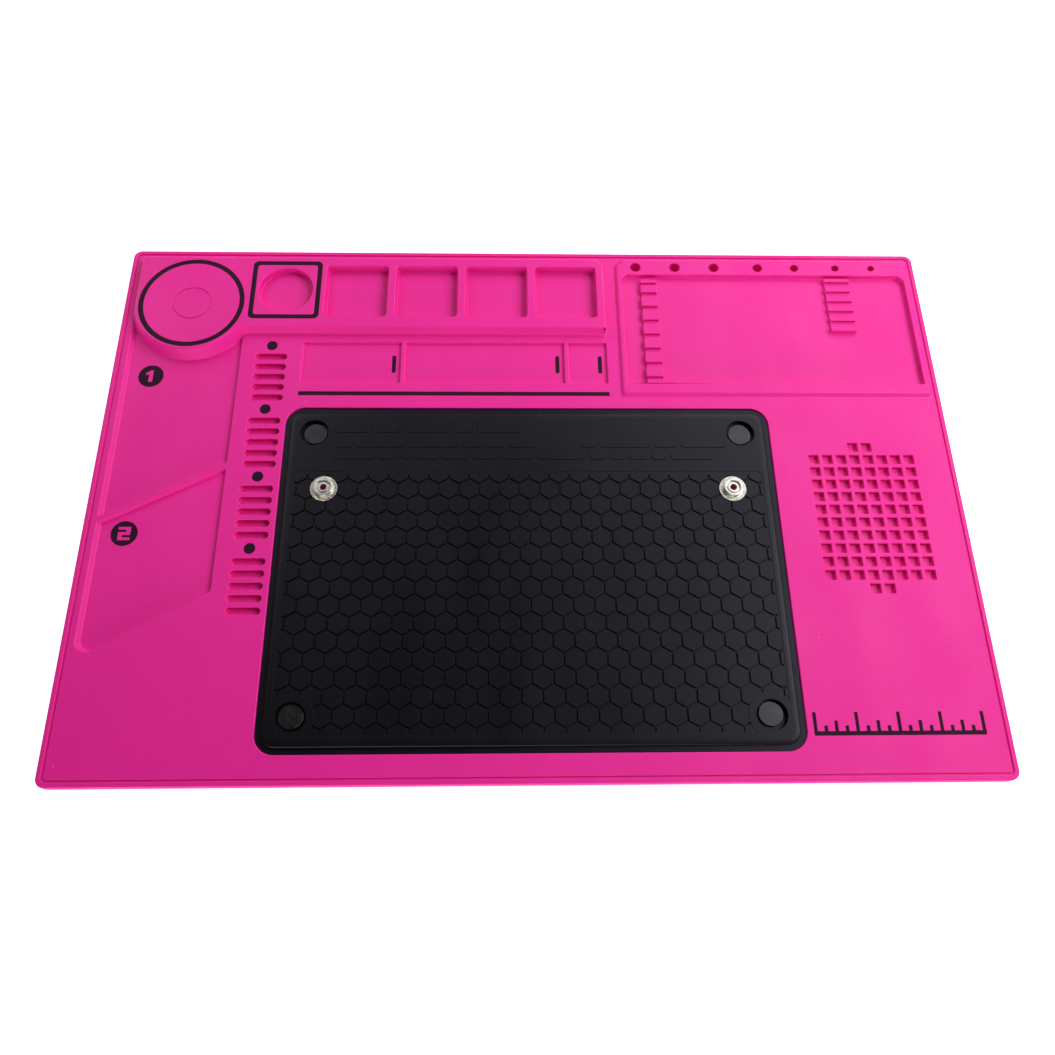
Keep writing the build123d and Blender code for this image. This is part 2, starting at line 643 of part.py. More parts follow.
def eyelet(x):
    """Tube eyelet, flanged under the pad and rolled over the stud's web."""
    web_top = WASHER_TOP + STUD_WEB
    lip = disc(x, SNAP_Y, EYELET_LIP_R, web_top, web_top + EYELET_LIP_T)
    lip = fillet(lip.faces().sort_by(Axis.Z)[-1].edges(), EYELET_LIP_ROUND)
    tube = disc(x, SNAP_Y, EYELET_R, PAD_FLOOR, web_top)
    flange = disc(x, SNAP_Y, EYELET_FLANGE_R, PAD_FLOOR, PAD_FLOOR + EYELET_FLANGE_T)
    return tube + flange + lip - disc(x, SNAP_Y, EYELET_BORE_R, PAD_FLOOR, web_top + EYELET_LIP_T)


def main():
    os.makedirs("parts", exist_ok=True)
    write("base_mat", base_mat())
    write("center_pad", center_pad())
    write("dish_magnet", disc(DISH_X, DISH_Y, DISH_MAGNET_R, DISH_MAGNET_Z, DISH_MAGNET_Z + DISH_MAGNET_T))
    for name, (face, top) in inlays().items():
        write(name, sink(face, top, INLAY_DEPTH))
    for name, solid in pad_magnets().items():
        write(name, solid)
    for side, x in side_centres(SNAP_HALF_SPAN).items():
        write(f"{side}_grip_washer", grip_washer(x))
        write(f"{side}_snap_stud", snap_stud(x))
        write(f"{side}_eyelet", eyelet(x))


main()
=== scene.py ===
import json
import math

import bmesh
import bpy
import numpy as np
from mathutils import Euler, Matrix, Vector
from mathutils.geometry import delaunay_2d_cdt


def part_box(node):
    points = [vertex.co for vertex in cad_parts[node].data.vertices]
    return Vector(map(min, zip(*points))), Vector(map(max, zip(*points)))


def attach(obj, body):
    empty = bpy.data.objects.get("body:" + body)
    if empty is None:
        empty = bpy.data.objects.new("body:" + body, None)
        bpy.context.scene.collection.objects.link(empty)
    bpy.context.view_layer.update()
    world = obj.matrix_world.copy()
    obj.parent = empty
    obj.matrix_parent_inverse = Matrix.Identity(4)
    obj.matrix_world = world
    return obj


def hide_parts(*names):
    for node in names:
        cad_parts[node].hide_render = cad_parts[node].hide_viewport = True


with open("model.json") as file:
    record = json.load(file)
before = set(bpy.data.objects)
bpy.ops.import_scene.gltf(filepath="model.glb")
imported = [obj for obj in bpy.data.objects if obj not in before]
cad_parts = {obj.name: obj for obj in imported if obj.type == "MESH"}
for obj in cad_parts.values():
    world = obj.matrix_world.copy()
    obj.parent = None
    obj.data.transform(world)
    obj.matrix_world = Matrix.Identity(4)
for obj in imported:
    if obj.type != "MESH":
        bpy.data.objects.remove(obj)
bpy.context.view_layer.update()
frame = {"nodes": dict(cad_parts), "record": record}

MM = 0.001

# ---- Camera: above the front edge, looking down at the mat ----
CAMERA_PLACE = (-14.3 * MM, -210.2 * MM, 443.1 * MM)
CAMERA_TURN = (23.156, -1.379, -0.658)  # degrees about X, Y and Z
SENSOR = 36.0
FOCAL = 32.004
CLIP_START = 0.01
CLIP_END = 20.0

# ---- Light ----
ROOM_LIGHT = 0.05
TABLE_LIGHT = 0.85
LAMPS = (                               # name, azimuth, elevation, distance, width, height and power
    ("back_right", 60.0, 35.0, 0.9, 0.55, 0.55, 3.6),
    ("back_left", 135.0, 35.0, 0.9, 0.55, 0.55, 2.4),
    ("right", 5.0, 45.0, 1.0, 0.60, 0.60, 7.3),
    ("front", -98.0, 6.5, 1.6, 1.60, 0.30, 17.0),
)
TABLE = 8.0
TABLE_GAP = 0.2 * MM

# ---- Levels and details that the rounding needs, as the CAD has them ----
Z_MAIN = 5.5 * MM
Z_SLAB = 6.5 * MM
Z_BLOCK = 10.5 * MM
INLAY_DEPTH = 1.0 * MM
SLAB_WALL = 1.9 * MM                    # from the pad's flange to the top of its slab
BLOCK_WALL = 4.95 * MM                  # outer walls of the storage block are at least this high

# ---- Raised blocks on the pad: left, front, height, gap and lengths, in millimetres ----
HEADER_ROWS = (
    (-102.0, 31.0, 8.0, 2.6, (19.0, 12.0, 24.0, 9.0, 22.0)),
    (-102.0, 22.2, 4.4, 2.0, (9.0, 25.0, 27.0, 11.0, 9.0, 14.0)),
    (27.0, 22.2, 4.4, 2.0, (8.0, 27.0, 12.0, 24.0)),
    (-102.0, 15.2, 4.4, 2.0, (21.0, 10.0, 6.0, 11.0, 14.0, 13.0, 17.0, 25.0, 9.0, 8.0, 10.0, 8.0, 22.0)),
)
HEADER_RISE = 0.30 * MM
HEADER_SUNK = 0.05 * MM
HEADER_CORNER = 0.8 * MM
HEADER_CORNER_STEPS = 4
HEADER_ROUND = 0.12 * MM
HEADER_ROUND_STEPS = 2
HEADER_SMOOTH_ANGLE = 56.0

# ---- Soft fall of the slab towards its edge ----
SLAB_PIECE = "soft_center_pad"
SLAB_INSET = 2.9 * MM
SLAB_CORNER = 6.6 * MM
SLAB_FALL = 0.42 * MM
SLAB_FALL_WIDTH = 3.1 * MM
SLAB_RING = 0.80 * MM
SLAB_RINGS = 3
SLAB_LEAST_WIDTH = 240 * MM
SLAB_EDGE_DROP = 0.25 * MM              # the slab's own edge has fallen at least this far
pad_low, pad_high = (Vector(corner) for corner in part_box("center_pad"))
SLAB_BOX = (pad_low + Vector((SLAB_INSET, SLAB_INSET, 0.0)), pad_high - Vector((SLAB_INSET, SLAB_INSET, 0.0)))

# ---- Rounding of the moulded edges ----
ROUND_MAT = 0.45 * MM
ROUND_BLOCK = 0.85 * MM
ROUND_PAD = 0.75 * MM                   # the slab's top edge
ROUND_PAD_OTHER = 0.08 * MM             # and all other edges of the pad
ROUND_INLAY = 0.14 * MM
ROUND_METAL = 0.20 * MM
ROUND_SHARE = 0.42                      # of the wall's height, at most, where the edge stands out
ROUND_SHARE_INSIDE = 0.20               # and where it is an inside corner
ROOM_SHARE = 0.38                       # of the edge beside it, at most
SIDEWAYS = 0.7                          # cosine of the least angle between such edges
ROUND_STEPS = 3
SHARP_ANGLE = 28.0
LEVEL = 0.9999                          # upward share of a level face's normal, at least
UPRIGHT = 0.6                           # and of an upright face's normal, at most
LEVEL_SLACK = 0.001 * MM
WALL_SLACK = 0.01 * MM
INSET_SHARE = 1.15
MITRE_LEAST = 0.35
ALL_TRIANGLES = 0
CDT_SLACK = 1e-8
SAME_PLACE = 0.002 * MM
FLAT_ANGLE = 0.05
BEVEL_SLOTS = 2                         # material slots while rounding: flat faces, then rounded ones
ROUNDED = 1

# ---- Sockets of the colour and the number kind of a mix node ----
COLOUR_A, COLOUR_B, COLOUR_RESULT = 6, 7, 2
NUMBER_SHARE, NUMBER_A, NUMBER_B, NUMBER_RESULT = 0, 2, 3, 0

# ---- Detail of the materials: sizes, and for relief the size, noise detail, strength and depth ----
CLOUD_SIZE = 70 * MM
MOTTLE_SIZE = 1.6 * MM
MOTTLE_SHARE = 0.35
SPECK_SPACING = 7 * MM
SPECK_SIZE = 0.28 * MM
SPECK_SHARE = 0.6
SPECK_CORE = 0.4                        # share of a speck's radius that is solid
SPECK_SOFT = 0.02
WIPE_SIZE = 22 * MM
WIPE_STRETCH = (1.0, 0.35, 1.0)
# size of the patches along the rounded edges, for the painted highlight and the worn brass alike
EDGE_PATCH_SIZE = 4 * MM
SILICONE_WAVES = (9 * MM, 2.0, 0.25, 0.05 * MM)
SILICONE_GRAIN = (0.5 * MM, 3.0, 0.3, 0.006 * MM)
MAGNET_GRAIN = (0.3 * MM, 3.0, 0.4, 0.006 * MM)
SNAP_GRAIN = (0.25 * MM, 4.0, 0.08, 0.003 * MM)
SNAP_DENTS = (2.5 * MM, 2.0, 0.2, 0.02 * MM)

# ---- Colours: two cloudy tones and a mottle, the lighter edge tone (a painted highlight on the silicones) and the dust or brass ----
PINK_TONES = ((0.790, 0.003, 0.282), (0.840, 0.004, 0.300), (0.745, 0.002, 0.262))
# painted highlight: a lighter, paler pink for the rounded edges
PINK_EDGE_HIGHLIGHT = (0.95, 0.020, 0.38)
PINK_DUST = (0.85, 0.55, 0.62)
BLACK_TONES = ((0.0016, 0.0015, 0.0022), (0.0022, 0.0021, 0.0030), (0.0012, 0.0012, 0.0018))
# painted highlight: a lighter, reddish black for the slab's rounded edge
BLACK_EDGE_HIGHLIGHT = (0.012, 0.007, 0.010)
BLACK_DUST = (0.16, 0.15, 0.15)
BLACK_SHEEN = (0.84, 0.82, 1.0, 1.0)
INLAY_TONES = ((0.020, 0.003, 0.014), (0.027, 0.004, 0.019), (0.014, 0.002, 0.010))
# painted highlight: a lighter, pinker black for the inlays' rounded edges
INLAY_EDGE_HIGHLIGHT = (0.08, 0.004, 0.045)
INLAY_DUST = (0.20, 0.12, 0.15)
MAGNET_TONES = ((0.042, 0.043, 0.048), (0.062, 0.063, 0.069), (0.030, 0.031, 0.034))
MAGNET_EDGE = (0.16, 0.155, 0.15)
SNAP_TONES = ((0.76, 0.75, 0.72), (0.54, 0.51, 0.44))
SNAP_BRASS = (0.83, 0.66, 0.36)
TABLE_TONES = ((0.90, 0.90, 0.90), (0.93, 0.93, 0.93))


# ---- Meshes ----
def link(mesh, name):
    """An object for a mesh, in the scene."""
    made = bpy.data.objects.new(name, mesh)
    bpy.context.scene.collection.objects.link(made)
    return made


def clean_copy(node):
    """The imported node's mesh with its triangles joined into whole faces."""
    work = bmesh.new()
    work.from_mesh(frame["nodes"][node].data)
    bmesh.ops.remove_doubles(work, verts=work.verts, dist=SAME_PLACE)
    bmesh.ops.dissolve_limit(work, angle_limit=math.radians(FLAT_ANGLE), verts=work.verts, edges=work.edges)
    return work


def is_level(face):
    """Whether a face lies at one height."""
    heights = [vertex.co.z for vertex in face.verts]
    return abs(face.normal.z) > LEVEL and max(heights) - min(heights) < LEVEL_SLACK


def level_regions(work):
    """Level faces of a mesh, in groups that touch."""
    left = dict.fromkeys(face for face in work.faces if is_level(face))
    while left:
        first = next(iter(left))
        del left[first]
        region = {first: True}
        fresh = [first]
        while fresh:
            for edge in fresh.pop().edges:
                for face in edge.link_faces:
                    if face in left:
                        del left[face]
                        region[face] = True
                        fresh.append(face)
        yield region


def border_loops(region):
    """Closed runs of vertices round a region, which lies on their left."""
    following = {}
    for face in region:
        for corner in face.loops:
            others = [f for f in corner.edge.link_faces if f is not face]
            if others and others[0] not in region:
                following.setdefault(corner.vert, []).append(corner)
    while following:
        first = next(iter(following))
        vertex = first
        loop = []
        while vertex in following:
            corners = following[vertex]
            corner = corners.pop()
            if not corners:
                del following[vertex]
            loop.append((vertex, corner.edge))
            vertex = corner.link_loop_next.vert
        yield loop


def inset_points(loop, up, reach):
    """A loop's points moved this far into its region."""
    count = len(loop)
    places = [vertex.co.xy for vertex, _ in loop]
    moved = []
    for index in range(count):
        before = (places[index] - places[index - 1]).normalized()
        after = (places[(index + 1) % count] - places[index]).normalized()
        left_before = Vector((-before.y, before.x)) * up
        left_after = Vector((-after.y, after.x)) * up
        lean = max(1.0 + left_before.dot(left_after), MITRE_LEAST)
        moved.append(places[index] + (left_before + left_after) / lean * reach)
    return moved


def inside_faces(places, triangles, points, edges):
    """The triangles whose middle has an odd number of border lines to its right."""
    starts = np.array([points[a] for a, _ in edges])
    ends = np.array([points[b] for _, b in edges])
    middles = np.array([[places[k] for k in triangle] for triangle in triangles]).mean(axis=1)
    for triangle, (x, y) in zip(triangles, middles):
        spans = (starts[:, 1] > y) != (ends[:, 1] > y)
        low = starts[spans]
        run = ends[spans] - low
        crossing = low[:, 0] + (y - low[:, 1]) / run[:, 1] * run[:, 0]
        if np.count_nonzero(crossing > x) % 2:
            yield triangle


def slab_drop(x, y):
    """How far the top of the pad's slab falls away near its edge."""
    low, high = SLAB_BOX
    middle = (low + high) / 2
    half = (high - low) / 2
    over_x = abs(x - middle.x) - (half.x - SLAB_CORNER)
    over_y = abs(y - middle.y) - (half.y - SLAB_CORNER)
    outward = math.hypot(max(over_x, 0.0), max(over_y, 0.0)) + min(max(over_x, over_y), 0.0) - SLAB_CORNER
    return SLAB_FALL * max(0.0, 1.0 + outward / SLAB_FALL_WIDTH) ** 2


def soften_slab(work):
    """Let the slab fall away towards its edge in a soft curve."""
    for vertex in work.verts:
        above = vertex.co.z - Z_MAIN
        if above > SAME_PLACE:
            vertex.co.z -= slab_drop(vertex.co.x, vertex.co.y) * above / (Z_SLAB - Z_MAIN)


def ring_reaches(loop, height, radii):
    """How far in each ring of a border lies: several round the pad's slab, else one."""
    reach = INSET_SHARE * max(radii.get(edge, SAME_PLACE) for _, edge in loop)
    width = max(vertex.co.x for vertex, _ in loop) - min(vertex.co.x for vertex, _ in loop)
    if abs(height - Z_SLAB) < SAME_PLACE and width > SLAB_LEAST_WIDTH:
        return [SLAB_RING * step for step in range(1, SLAB_RINGS + 1)]
    return [reach]


def rebuild_level(work, region, radii):
    """Give a level region even rings of faces along its borders and triangles inside."""
    up = 1.0 if next(iter(region)).normal.z > 0 else -1.0
    loops = list(border_loops(region))
    height = loops[0][0][0].co.z
    bands = [[inset_points(loop, up, reach) for reach in ring_reaches(loop, height, radii)] for loop in loops]
    bmesh.ops.delete(work, geom=list(region), context="FACES_ONLY")
    points = []
    edges = []
    corners = []
    for loop, band in zip(loops, bands):
        first = len(points)
        count = len(loop)
        points += band[-1]
        edges += [(first + k, first + (k + 1) % count) for k in range(count)]
        outer = [vertex for vertex, _ in loop]
        for ring in band:
            made = [work.verts.new((point.x, point.y, height)) for point in ring]
            for k in range(count):
                after = (k + 1) % count
                work.faces.new((outer[k], outer[after], made[after], made[k]))
            outer = made
        corners += outer
    found = delaunay_2d_cdt(points, edges, [], ALL_TRIANGLES, CDT_SLACK)
    for triangle in inside_faces(found[0], found[2], points, edges):
        picked = [corners[found[3][k][0]] if found[3][k] else work.verts.new((*found[0][k], height))
                  for k in triangle]
        if len(set(picked)) == 3:
            face = picked if up > 0 else picked[::-1]
            if not work.faces.get(face):
                work.faces.new(face)


def wall_height(face):
    """Height of an upright face, or nothing for a level one."""
    if abs(face.normal.z) > UPRIGHT:
        return None
    heights = [v.co.z for v in face.verts]
    return max(heights) - min(heights)


def room_beside(edge):
    """Length of the shortest edge that leaves an end of this one sideways."""
    along = (edge.verts[1].co - edge.verts[0].co).normalized()
    lengths = [math.inf]
    for vertex in edge.verts:
        for other in vertex.link_edges:
            reach = other.other_vert(vertex).co - vertex.co
            if reach.length > 0 and abs(reach.normalized().dot(along)) < SIDEWAYS:
                lengths.append(reach.length)
    return min(lengths)


def edge_round(edge, limit):
    """Radius for an edge: more along the top edges of the block and the slab, less beside a low wall."""
    walls = [h for h in map(wall_height, edge.link_faces) if h]
    if not walls:
        return min(limit, ROUND_MAT)
    lowest = min(walls)
    if limit == ROUND_PAD:
        return limit if edge.is_convex and abs(lowest - SLAB_WALL) < WALL_SLACK else ROUND_PAD_OTHER
    height = max(vertex.co.z for vertex in edge.verts)
    if lowest > BLOCK_WALL and abs(height - Z_BLOCK) < SAME_PLACE and edge.is_convex:
        return limit
    if abs(lowest - INLAY_DEPTH) < WALL_SLACK:
        return min(limit, ROUND_INLAY)
    return min(limit, ROUND_MAT, lowest * (ROUND_SHARE if edge.is_convex else ROUND_SHARE_INSIDE))


def rounded(work, name, limit):
    """An object with every sharp edge rounded, and normals that keep the flats flat."""
    radii = {e: min(edge_round(e, limit), ROOM_SHARE * room_beside(e)) for e in work.edges
             if len(e.link_faces) == 2 and math.degrees(e.calc_face_angle()) > SHARP_ANGLE}
    for region in list(level_regions(work)):
        rebuild_level(work, region, radii)
    bmesh.ops.delete(work, geom=[e for e in work.edges if not e.link_faces], context="EDGES")
    if name == SLAB_PIECE:
        soften_slab(work)
    work.edges.index_update()
    weights = {e.index: radius / limit for e, radius in radii.items() if e.is_valid}
    mesh = bpy.data.meshes.new(name)
    work.to_mesh(mesh)
    work.free()
    attribute = mesh.attributes.new("bevel_weight_edge", "FLOAT", "EDGE")
    for index, weight in weights.items():
        attribute.data[index].value = weight
    made = link(mesh, name)
    bevel = made.modifiers.new("round", "BEVEL")
    bevel.limit_method = "WEIGHT"
    bevel.width = limit
    bevel.segments = ROUND_STEPS
    bevel.use_clamp_overlap = False
    bevel.miter_outer = "MITER_SHARP"
    bevel.miter_inner = "MITER_SHARP"
    bevel.material = ROUNDED
    for _ in range(BEVEL_SLOTS):
        mesh.materials.append(None)
    apply(made)
    if name == SLAB_PIECE:
        slab_edge_only(made)
    return made


def apply(made):
    """Make the modifiers' result the object's own mesh, with smooth normals and its share of edge."""
    scene_state = bpy.context.evaluated_depsgraph_get()
    final = bpy.data.meshes.new_from_object(made.evaluated_get(scene_state))
    final.name = made.name
    made.modifiers.clear()
    made.data = final
    total = [Vector() for _ in final.vertices]
    spare = [Vector() for _ in final.vertices]
    edge_part = [0.0] * len(final.vertices)
    for polygon in final.polygons:
        kept = spare if polygon.material_index == ROUNDED else total
        for vertex in polygon.vertices:
            kept[vertex] += polygon.normal * (1.0 if kept is total else polygon.area)
    normals = []
    for index, (flat, bent) in enumerate(zip(total, spare)):
        edge_part[index] = 0.0 if flat.length > 0 else 1.0
        normals.append((flat if flat.length > 0 else bent).normalized())
    for polygon in final.polygons:
        polygon.use_smooth = True
    final.normals_split_custom_set_from_vertices(normals)
    share = final.attributes.new("edge", "FLOAT", "POINT")
    share.data.foreach_set("value", edge_part)
    for polygon in final.polygons:
        polygon.material_index = 0
    final.materials.clear()


def slab_edge_only(made):
    """Keep the pad's share of edge, and with it the painted highlight, only where its slab ends, so that its
    grooves stay dull.
    """
    share = made.data.attributes["edge"].data
    for vertex, item in zip(made.data.vertices, share):
        if slab_drop(vertex.co.x, vertex.co.y) < SLAB_EDGE_DROP:
            item.value = 0.0


def finish_piece(made, body, slot, material, *nodes):
    """Give a piece its material, hang it on the empty of the body it rides on, and hide the CAD nodes it
    stands for.
    """
    made.data.materials.clear()
    made.data.materials.append(material)
    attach(made, body)
    if nodes:
        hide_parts(*nodes)


# ---- Materials ----
def add(tree, kind, values=None, **settings):
    """A node with its settings and the values of its sockets."""
    made = tree.nodes.new(kind)
    for name, value in settings.items():
        setattr(made, name, value)
    for name, value in (values or {}).items():
        made.inputs[name].default_value = value
    return made


def shade(name, values):
    """A material, its tree and its shader, with values that are the same all over."""
    material = bpy.data.materials.new(name)
    material.use_nodes = True
    shader = material.node_tree.nodes["Principled BSDF"]
    for socket, value in values.items():
        shader.inputs[socket].default_value = value
    return material, material.node_tree, shader


def noise(tree, size, detail=2.0, stretch=(1.0, 1.0, 1.0)):
    """Noise of about 0 to 1 whose lumps have this size in metres."""
    place = add(tree, "ShaderNodeTexCoord")
    scale = add(tree, "ShaderNodeMapping", {"Scale": stretch})
    made = add(tree, "ShaderNodeTexNoise", {"Scale": 1.0 / size, "Detail": detail})
    tree.links.new(place.outputs["Object"], scale.inputs["Vector"])
    tree.links.new(scale.outputs["Vector"], made.inputs["Vector"])
    return made.outputs["Fac"]


def between(tree, value, low, high, start=0.3, end=0.7):
    """A value spread from low to high as its source goes from start to end."""
    ends = {"From Min": start, "From Max": end, "To Min": low, "To Max": high}
    made = add(tree, "ShaderNodeMapRange", ends)
    tree.links.new(value, made.inputs["Value"])
    return made.outputs["Result"]


def blend(tree, share, first, second):
    """Mix of two colours, each a colour value or a socket."""
    made = add(tree, "ShaderNodeMix", data_type="RGBA")
    tree.links.new(share, made.inputs["Factor"])
    for socket, colour in ((made.inputs[COLOUR_A], first), (made.inputs[COLOUR_B], second)):
        if isinstance(colour, tuple):
            socket.default_value = (*colour, 1.0)
        else:
            tree.links.new(colour, socket)
    return made.outputs[COLOUR_RESULT]


def times(tree, first, second):
    """Product of two sockets, or of a socket and a number."""
    made = add(tree, "ShaderNodeMath", operation="MULTIPLY")
    tree.links.new(first, made.inputs[0])
    if isinstance(second, float):
        made.inputs[1].default_value = second
    else:
        tree.links.new(second, made.inputs[1])
    return made.outputs["Value"]


def specks(tree, spacing, size, share):
    """Share of sparse round specks: 1 inside a speck and 0 outside."""
    place = add(tree, "ShaderNodeTexCoord")
    cells = add(tree, "ShaderNodeTexVoronoi", {"Scale": 1.0 / spacing})
    tree.links.new(place.outputs["Object"], cells.inputs["Vector"])
    near = between(tree, cells.outputs["Distance"], 1.0, 0.0, SPECK_CORE * size / spacing, size / spacing)
    split = add(tree, "ShaderNodeSeparateColor")
    tree.links.new(cells.outputs["Color"], split.inputs["Color"])
    chosen = between(tree, split.outputs["Red"], 0.0, 1.0, 1.0 - share, 1.0 - share + SPECK_SOFT)
    return times(tree, near, chosen)


def bumps(tree, shader, *layers):
    """Surface relief from layers of noise: size, detail, strength and depth of each."""
    normal = None
    for size, detail, strength, depth in layers:
        made = add(tree, "ShaderNodeBump", {"Strength": strength, "Distance": depth})
        tree.links.new(noise(tree, size, detail), made.inputs["Height"])
        if normal:
            tree.links.new(normal, made.inputs["Normal"])
        normal = made.outputs["Normal"]
    tree.links.new(normal, shader.inputs["Normal"])


def edge_wear_and_highlight(tree, amount):
    """Patchy share along the rounded edges: a painted highlight on the silicones, the worn brass on the snap
    and a lighter tone on the magnet.
    """
    made = add(tree, "ShaderNodeAttribute", attribute_name="edge")
    patches = between(tree, noise(tree, EDGE_PATCH_SIZE, detail=3.0), low=0.3, high=1.0)
    return times(tree, times(tree, made.outputs["Fac"], patches), amount)


def polished(tree, rough, edge_rough):
    """Roughness that turns to another value along the rounded edges."""
    edge = add(tree, "ShaderNodeAttribute", attribute_name="edge")
    made = add(tree, "ShaderNodeMix", data_type="FLOAT")
    tree.links.new(edge.outputs["Fac"], made.inputs[NUMBER_SHARE])
    tree.links.new(rough, made.inputs[NUMBER_A])
    made.inputs[NUMBER_B].default_value = edge_rough
    return made.outputs[NUMBER_RESULT]


def glossy_edges(material):
    """A clear skin on the rounded edges, where the moulding is smoothest."""
    tree = material.node_tree
    edge = add(tree, "ShaderNodeAttribute", attribute_name="edge")
    shader = next(node for node in tree.nodes if node.type == "BSDF_PRINCIPLED")
    tree.links.new(edge.outputs["Fac"], shader.inputs["Coat Weight"])
    return material


def silicone(name, tones, edge_highlight_tone, dust_tone, values, rough, edge_rough, edge_highlight, dust):
    """Moulded silicone: cloudy colour, satin grain, a painted highlight in patches along the rounded edges
    and a little dust.
    """
    material, tree, shader = shade(name, values)
    clouds = between(tree, noise(tree, CLOUD_SIZE, detail=3.0), low=0.0, high=1.0)
    mottle = between(tree, noise(tree, MOTTLE_SIZE, detail=4.0), low=0.0, high=MOTTLE_SHARE)
    dusty = times(tree, specks(tree, SPECK_SPACING, SPECK_SIZE, dust), SPECK_SHARE)
    base = blend(tree, clouds, tones[0], tones[1])
    base = blend(tree, mottle, base, tones[2])
    # painted highlight: the lighter edge tone in patches along the rounded edges
    base = blend(tree, edge_wear_and_highlight(tree, edge_highlight), base, edge_highlight_tone)
    base = blend(tree, dusty, base, dust_tone)
    tree.links.new(base, shader.inputs["Base Color"])
    wiped = noise(tree, WIPE_SIZE, detail=4.0, stretch=WIPE_STRETCH)
    grain = between(tree, wiped, low=rough[0], high=rough[1])
    tree.links.new(polished(tree, grain, edge_rough), shader.inputs["Roughness"])
    bumps(tree, shader, SILICONE_WAVES, SILICONE_GRAIN)
    return material


def pink_silicone():
    """The mat itself: satin pink."""
    return silicone("pink_silicone", PINK_TONES, PINK_EDGE_HIGHLIGHT, PINK_DUST, {"Specular IOR Level": 0.46},
                    rough=(0.60, 0.72), edge_rough=0.50, edge_highlight=0.5, dust=0.10)


def black_silicone():
    """The anti-static pad: near-black, with a smoother skin and a painted highlight on its edges."""
    values = {"Specular IOR Level": 0.26, "Specular Tint": BLACK_SHEEN,
              "Coat Roughness": 0.18, "Coat IOR": 2.1}
    made = silicone("black_silicone", BLACK_TONES, BLACK_EDGE_HIGHLIGHT, BLACK_DUST, values,
                    rough=(0.40, 0.50), edge_rough=0.25, edge_highlight=0.5, dust=0.16)
    return glossy_edges(made)


def inlay_silicone():
    """Thin black filling in the pink, with pink showing through a little."""
    return silicone("inlay_silicone", INLAY_TONES, INLAY_EDGE_HIGHLIGHT, INLAY_DUST, {"Specular IOR Level": 0.12},
                    rough=(0.60, 0.75), edge_rough=0.55, edge_highlight=0.4, dust=0.10)


def magnet_nickel():
    """Dull dark nickel plate with fine handling marks."""
    material, tree, shader = shade("magnet_nickel", {"Metallic": 1.0})
    patches = between(tree, noise(tree, 4 * MM, detail=4.0), low=0.0, high=1.0)
    grain = between(tree, noise(tree, 0.35 * MM, detail=3.0), low=0.0, high=0.6)
    base = blend(tree, patches, MAGNET_TONES[0], MAGNET_TONES[1])
    base = blend(tree, grain, base, MAGNET_TONES[2])
    base = blend(tree, edge_wear_and_highlight(tree, 0.8), base, MAGNET_EDGE)
    tree.links.new(base, shader.inputs["Base Color"])
    rough = between(tree, noise(tree, 2 * MM, detail=4.0), low=0.34, high=0.52)
    tree.links.new(rough, shader.inputs["Roughness"])
    bumps(tree, shader, MAGNET_GRAIN)
    return material


def snap_nickel():
    """Bright nickel plate, worn to the brass on its edges."""
    material, tree, shader = shade("snap_nickel", {"Metallic": 1.0})
    tarnish = between(tree, noise(tree, 3 * MM, detail=4.0), low=0.0, high=0.7)
    base = blend(tree, tarnish, SNAP_TONES[0], SNAP_TONES[1])
    base = blend(tree, edge_wear_and_highlight(tree, 0.55), base, SNAP_BRASS)
    tree.links.new(base, shader.inputs["Base Color"])
    rough = between(tree, noise(tree, 1.6 * MM, detail=2.0), low=0.30, high=0.42)
    tree.links.new(rough, shader.inputs["Roughness"])
    bumps(tree, shader, SNAP_GRAIN, SNAP_DENTS)
    return material


def table_white():
    """The white bench, lit as bright as the room."""
    values = {"Emission Color": (1, 1, 1, 1), "Emission Strength": TABLE_LIGHT}
    material, tree, shader = shade("table_white", values)
    tint = blend(tree, noise(tree, 0.4, detail=3.0), TABLE_TONES[0], TABLE_TONES[1])
    tree.links.new(tint, shader.inputs["Base Color"])
    rough = between(tree, noise(tree, 0.02, detail=3.0), low=0.7, high=0.8)
    tree.links.new(rough, shader.inputs["Roughness"])
    return material


# ---- Header relief: plain raised blocks where such a pad has its markings ----
def header_blocks():
    """Left, right, front and rear of each block, in rows."""
    for left, front, height, gap, lengths in HEADER_ROWS:
        x = left
        for length in lengths:
            yield (x, x + length, front, front + height)
            x += length + gap


def header_relief():
    """All the raised blocks as one mesh."""
    work = bmesh.new()
    for left, right, front, rear in header_blocks():
        made = bmesh.ops.create_cube(work, size=1.0)["verts"]
        for vertex in made:
            x = left if vertex.co.x < 0 else right
            y = front if vertex.co.y < 0 else rear
            z = Z_SLAB - HEADER_SUNK if vertex.co.z < 0 else Z_SLAB + HEADER_RISE
            vertex.co = (x * MM, y * MM, z)
        edges = dict.fromkeys(edge for vertex in made for edge in vertex.link_edges)
        upright = [edge for edge in edges if abs((edge.verts[0].co - edge.verts[1].co).z) > SAME_PLACE]
        bmesh.ops.bevel(work, geom=upright, offset=HEADER_CORNER, segments=HEADER_CORNER_STEPS,
                        affect="EDGES")
    top = [e for e in work.edges if min(v.co.z for v in e.verts) > Z_SLAB]
    bmesh.ops.bevel(work, geom=top, offset=HEADER_ROUND, segments=HEADER_ROUND_STEPS, affect="EDGES")
    mesh = bpy.data.meshes.new("header_relief")
    work.to_mesh(mesh)
    work.free()
    mesh.shade_smooth()
    mesh.set_sharp_from_angle(angle=math.radians(HEADER_SMOOTH_ANGLE))
    return link(mesh, "header_relief")


def camera():
    """The one camera."""
    data = bpy.data.cameras.new("view")
    data.sensor_width = SENSOR
    data.lens = FOCAL
    data.clip_start = CLIP_START
    data.clip_end = CLIP_END
    made = bpy.data.objects.new("view", data)
    bpy.context.scene.collection.objects.link(made)
    made.location = CAMERA_PLACE
    made.rotation_euler = Euler([math.radians(a) for a in CAMERA_TURN], "XYZ")
    bpy.context.scene.camera = made


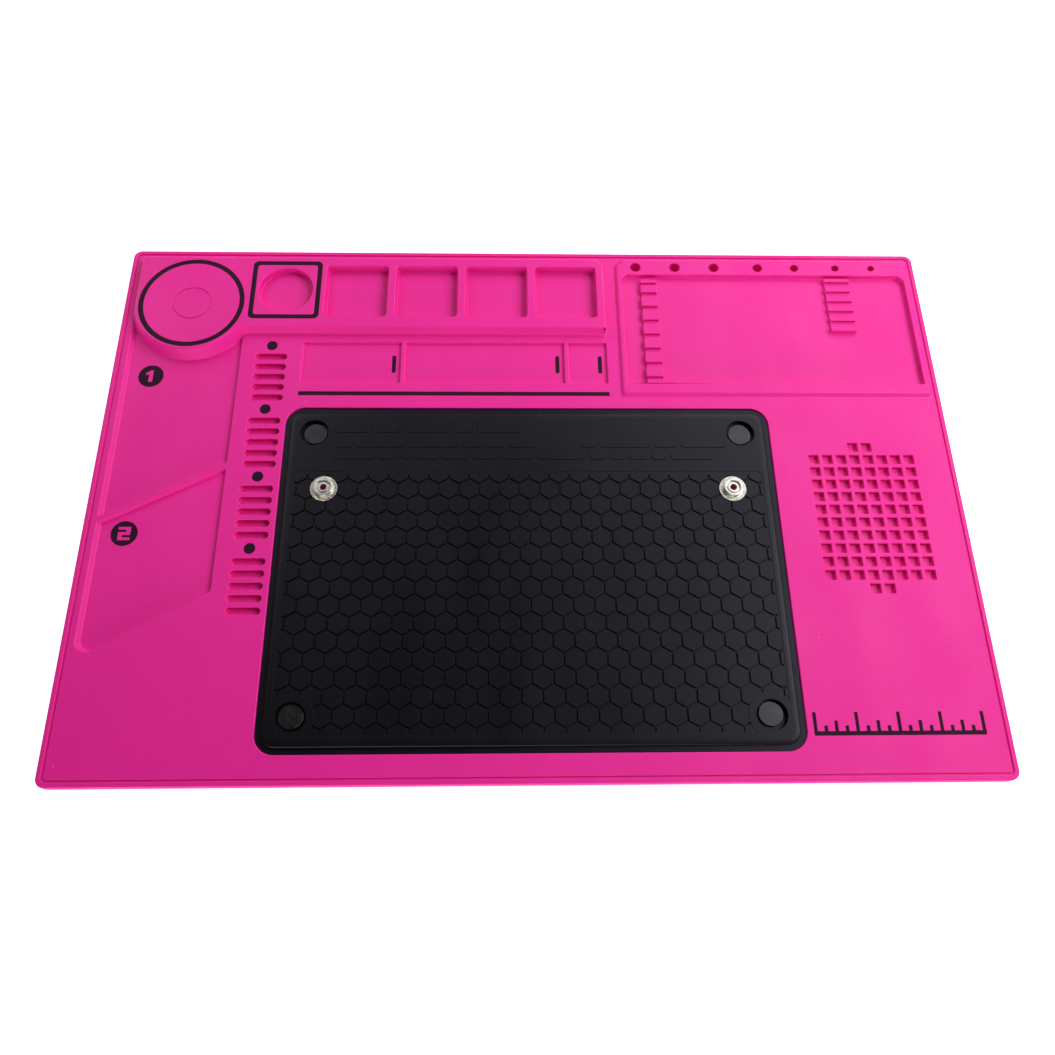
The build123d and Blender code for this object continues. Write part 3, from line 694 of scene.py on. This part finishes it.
def lamp(name, azimuth, elevation, distance, width, height, power):
    """A soft box that faces the middle of the mat."""
    data = bpy.data.lights.new(name, "AREA")
    data.shape = "RECTANGLE"
    data.size = width
    data.size_y = height
    data.energy = power
    made = bpy.data.objects.new(name, data)
    turn = Euler((0.0, -math.radians(elevation), math.radians(azimuth)))
    made.location = turn.to_matrix() @ Vector((distance, 0.0, 0.0))
    made.rotation_euler = (-made.location).to_track_quat("-Z", "Y").to_euler()
    made.visible_camera = False
    bpy.context.scene.collection.objects.link(made)


def room():
    """A dim, even room that the camera sees as white."""
    world = bpy.data.worlds.new("studio")
    world.use_nodes = True
    tree = world.node_tree
    dim = tree.nodes["Background"]
    dim.inputs["Strength"].default_value = ROOM_LIGHT
    white = add(tree, "ShaderNodeBackground", {"Color": (1, 1, 1, 1), "Strength": 1.0})
    ray = add(tree, "ShaderNodeLightPath")
    mix = add(tree, "ShaderNodeMixShader")
    tree.links.new(ray.outputs["Is Camera Ray"], mix.inputs["Fac"])
    tree.links.new(dim.outputs[0], mix.inputs[1])
    tree.links.new(white.outputs[0], mix.inputs[2])
    tree.links.new(mix.outputs[0], tree.nodes["World Output"].inputs["Surface"])
    dim.inputs["Color"].default_value = (1, 1, 1, 1)
    bpy.context.scene.world = world


def floor():
    """The white bench under the mat."""
    mesh = bpy.data.meshes.new("table")
    corners = [(x * TABLE, y * TABLE, -TABLE_GAP) for x, y in ((-1, -1), (1, -1), (1, 1), (-1, 1))]
    mesh.from_pydata(corners, [], [(0, 1, 2, 3)])
    mesh.materials.append(table_white())
    made = link(mesh, "table")


camera()
room()
for settings in LAMPS:
    lamp(*settings)
floor()
bpy.context.scene.view_settings.view_transform = "Standard"
BY_SLOT = {
    "pink_silicone": (pink_silicone(), ROUND_BLOCK),
    "black_silicone": (black_silicone(), ROUND_PAD),
    "inlay_silicone": (inlay_silicone(), ROUND_INLAY),
    "magnet": (magnet_nickel(), ROUND_METAL),
    "snap_metal": (snap_nickel(), ROUND_METAL),
}
slots = {part["node"]: part["material_slot"] for part in frame["record"]["subparts"]}
for body, nodes in frame["record"]["behaviour"]["bodies"].items():
    for node in nodes:
        material, limit = BY_SLOT[slots[node]]
        finish_piece(rounded(clean_copy(node), "soft_" + node, limit), body, slots[node], material, node)
finish_piece(header_relief(), "pad", "black_silicone", BY_SLOT["black_silicone"][0])
